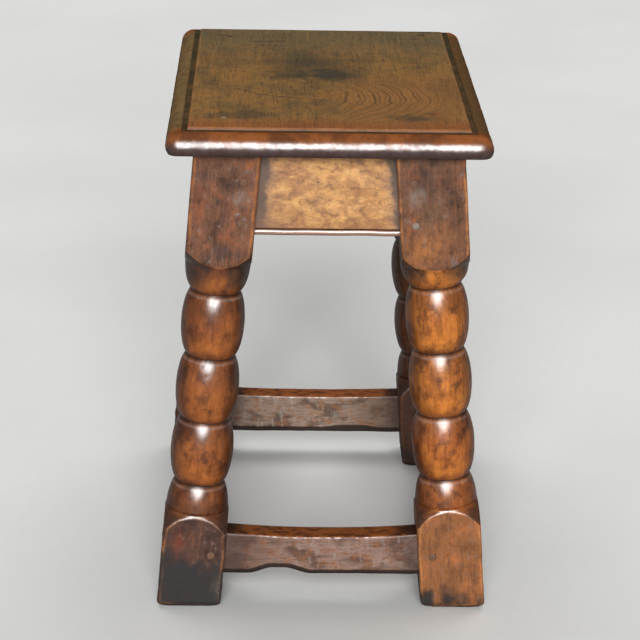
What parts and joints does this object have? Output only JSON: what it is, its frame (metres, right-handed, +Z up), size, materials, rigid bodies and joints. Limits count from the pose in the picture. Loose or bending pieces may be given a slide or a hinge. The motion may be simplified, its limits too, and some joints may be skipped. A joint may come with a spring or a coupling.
{
  "type": "joint stool",
  "caption": "Low oblong wooden stool on splayed legs turned with bobbins between square blocks, with aprons and stretchers pegged into the legs and a moulded seat board.",
  "frame": {"origin": "on the floor under the middle of the seat", "axes": "+Z up, +X across the stool, +Y along it from the front end to the back end"},
  "size_m": [0.299, 0.43, 0.45],
  "materials": {
    "seat_oak": "old waxed oak, satin",
    "leg_oak": "old varnished oak, polished on the turnings",
    "apron_oak": "old waxed oak, satin",
    "stretcher_oak": "old oak, rubbed dull",
    "peg_oak": "cleft oak, end grain"
  },
  "bodies": {
    "root": {"apron_back": "apron_oak", "apron_front": "apron_oak", "apron_left": "apron_oak", "apron_right": "apron_oak", "leg_back_left": "leg_oak", "leg_back_right": "leg_oak", "leg_front_left": "leg_oak", "leg_front_right": "leg_oak", "pegs_apron_back": "peg_oak", "pegs_apron_front": "peg_oak", "pegs_apron_left": "peg_oak", "pegs_apron_right": "peg_oak", "pegs_seat": "peg_oak", "pegs_stretcher_back": "peg_oak", "pegs_stretcher_front": "peg_oak", "pegs_stretcher_left": "peg_oak", "pegs_stretcher_right": "peg_oak", "seat_board": "seat_oak", "stretcher_back": "stretcher_oak", "stretcher_front": "stretcher_oak", "stretcher_left": "stretcher_oak", "stretcher_right": "stretcher_oak"}
  },
  "joints": []
}
